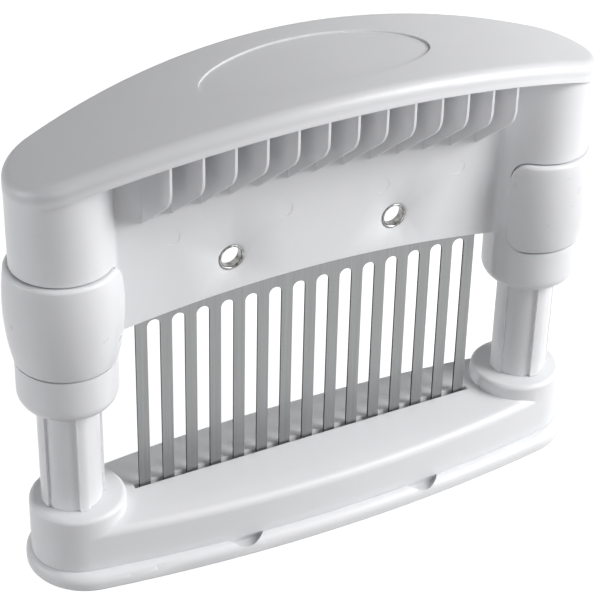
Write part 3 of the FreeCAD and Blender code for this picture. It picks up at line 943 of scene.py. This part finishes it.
@dataclass
class Studio:
    """Pale floor, white surroundings and soft light, mostly from the right and the front."""

    aim: Point = (0.0, 0.0, 0.055)
    ambient: float = 0.06
    floor_half: float = 3.0
    floor_glow: float = 0.97
    floor_shade: float = 0.30
    floor_bounce: float = 0.35

    def lamps(self) -> list[Lamp]:
        """The soft boxes."""
        return [Lamp("key_right", (0.692, -0.399, 0.346), 3.7, 0.42, 0.42),
                Lamp("front_soft", (0.499, -0.418, 0.601), 4.6, 0.42, 0.42),
                Lamp("left_front", (-0.528, -0.629, 0.275), 0.9, 0.42, 0.42),
                Lamp("left_rear", (-0.829, 0.146, 0.173), 2.6, 0.42, 0.42, (0.97, 0.98, 1.0))]

    @staticmethod
    def seen_plainly(tree: bpy.types.NodeTree) -> Any:
        """Adds a mask of the rays that show the background itself.

        Args:
            tree: The material's or the world's nodes.

        Returns:
            A socket that is 1 for camera, glossy and transmission rays.
        """
        path = tree.nodes.new("ShaderNodeLightPath")
        total = path.outputs["Is Camera Ray"]
        for name in ("Is Glossy Ray", "Is Transmission Ray"):
            add = tree.nodes.new("ShaderNodeMath")
            add.operation = "MAXIMUM"
            tree.links.new(total, add.inputs[0])
            tree.links.new(path.outputs[name], add.inputs[1])
            total = add.outputs[0]
        return total

    def world(self) -> None:
        """White where it is seen, and a plain grey level where it lights."""
        world = bpy.data.worlds.new("studio")
        bpy.context.scene.world = world
        world.use_nodes = True
        tree = world.node_tree
        shown = tree.nodes.new("ShaderNodeBackground")
        shown.inputs["Strength"].default_value = 1.0
        shown.inputs["Color"].default_value = (1, 1, 1, 1)
        tree.nodes["Background"].inputs["Color"].default_value = (0.97, 0.975, 1.0, 1)
        tree.nodes["Background"].inputs["Strength"].default_value = self.ambient
        mix = tree.nodes.new("ShaderNodeMixShader")
        tree.links.new(self.seen_plainly(tree), mix.inputs[0])
        tree.links.new(tree.nodes["Background"].outputs[0], mix.inputs[1])
        tree.links.new(shown.outputs[0], mix.inputs[2])
        tree.links.new(mix.outputs[0], tree.nodes["World Output"].inputs["Surface"])

    def floor(self) -> bpy.types.Object:
        """Lays the floor, which shows white and keeps the object's shadow."""
        h = self.floor_half
        mesh = bpy.data.meshes.new("floor")
        mesh.from_pydata([(-h, -h, 0), (h, -h, 0), (h, h, 0), (-h, h, 0)], [], [(0, 1, 2, 3)])
        floor = mesh_object("floor", mesh)
        material = bpy.data.materials.new("pale_floor")
        material.use_nodes = True
        tree = material.node_tree
        tree.nodes.remove(tree.nodes["Principled BSDF"])
        glow = tree.nodes.new("ShaderNodeEmission")
        glow.inputs["Strength"].default_value = self.floor_glow
        matt, plain = tree.nodes.new("ShaderNodeBsdfDiffuse"), tree.nodes.new("ShaderNodeBsdfDiffuse")
        matt.inputs["Color"].default_value = (self.floor_shade,) * 3 + (1,)
        plain.inputs["Color"].default_value = (self.floor_bounce,) * 3 + (1,)
        both, mix = tree.nodes.new("ShaderNodeAddShader"), tree.nodes.new("ShaderNodeMixShader")
        tree.links.new(glow.outputs[0], both.inputs[0])
        tree.links.new(matt.outputs[0], both.inputs[1])
        tree.links.new(self.seen_plainly(tree), mix.inputs[0])
        tree.links.new(plain.outputs[0], mix.inputs[1])
        tree.links.new(both.outputs[0], mix.inputs[2])
        tree.links.new(mix.outputs[0], tree.nodes["Material Output"].inputs["Surface"])
        mesh.materials.append(material)
        return floor

    def build(self) -> None:
        """Sets the view transform, the world, the floor and the lamps."""
        bpy.context.scene.view_settings.view_transform = "Standard"
        self.world()
        self.floor()
        for lamp in self.lamps():
            lamp.build(self.aim)


@dataclass
class Eye:
    """The camera, at the photograph's place."""

    place: Point = (-0.19770215, -0.36163648, 0.32838351)
    right: Point = (0.88650937, -0.46224187, 0.02082272)
    down: Point = (-0.23888183, -0.49575174, -0.83496448)
    ahead: Point = (0.39627845, 0.73522967, -0.54990975)
    focal_px: float = 2027.7465
    sensor_mm: float = 36.0

    def build(self) -> None:
        """Makes the camera and points it."""
        data = bpy.data.cameras.new("eye")
        data.sensor_width = self.sensor_mm
        data.lens = self.focal_px / FRAME_PX * self.sensor_mm
        data.clip_start, data.clip_end = 0.01, 20
        camera = bpy.data.objects.new("eye", data)
        bpy.context.scene.collection.objects.link(camera)
        turn = Matrix((Vector(self.right), -Vector(self.down), -Vector(self.ahead))).transposed()
        camera.matrix_world = Matrix.Translation(self.place) @ turn.to_4x4()
        bpy.context.scene.camera = camera


# Whole


@dataclass
class Tenderizer:
    """The whole tool."""

    materials: dict[str, bpy.types.Material]

    def pieces(self) -> list[bpy.types.Object]:
        """Makes every piece that stands for a solid, in order.

        Returns:
            The pieces.
        """
        m = self.materials
        # The comb's cut sides take near-black steel as painted shade.
        made = [BladeComb().build(m["blade_steel"], m["sheared_steel"])]
        for side in Side:
            made.append(ReturnSpring(side).build(m["spring_steel"]))
            made.append(TubeRivet(side).build(m["rivet_chrome"]))
            made.append(LatchPad(side).build(m["pad_plastic"]))
        smooth = [Moulding("handle_body", "handle_plastic", "handle"),
                  Moulding("base_cover", "base_plastic", "base"),
                  Moulding("bottom_plate", "base_plastic", "base")]
        for side in Side:
            smooth.append(Moulding(side.label + "_guide_post", "post_plastic", "base"))
        made += [part.build(m[part.slot]) for part in smooth]
        return made

    def dress_rest(self) -> None:
        """Gives the solids that stay their finish."""
        slots = {part["node"]: part["material_slot"] for part in frame["record"]["subparts"]}
        for name, node in frame["nodes"].items():
            if node.hide_render:
                continue
            node.data.materials.clear()
            node.data.materials.append(self.materials[slots[name]])
            LOG.info("%s keeps its solid, in %s", name, slots[name])


def main() -> None:
    """Builds the camera, the studio and the tool."""
    logging.basicConfig(level=logging.INFO, format="%(message)s")
    Eye().build()
    Studio().build()
    tool = Tenderizer(Palette().build())
    for piece in tool.pieces():
        LOG.info("%s: %d faces", piece.name, len(piece.data.polygons))
    tool.dress_rest()


if __name__ == "__main__":
    main()
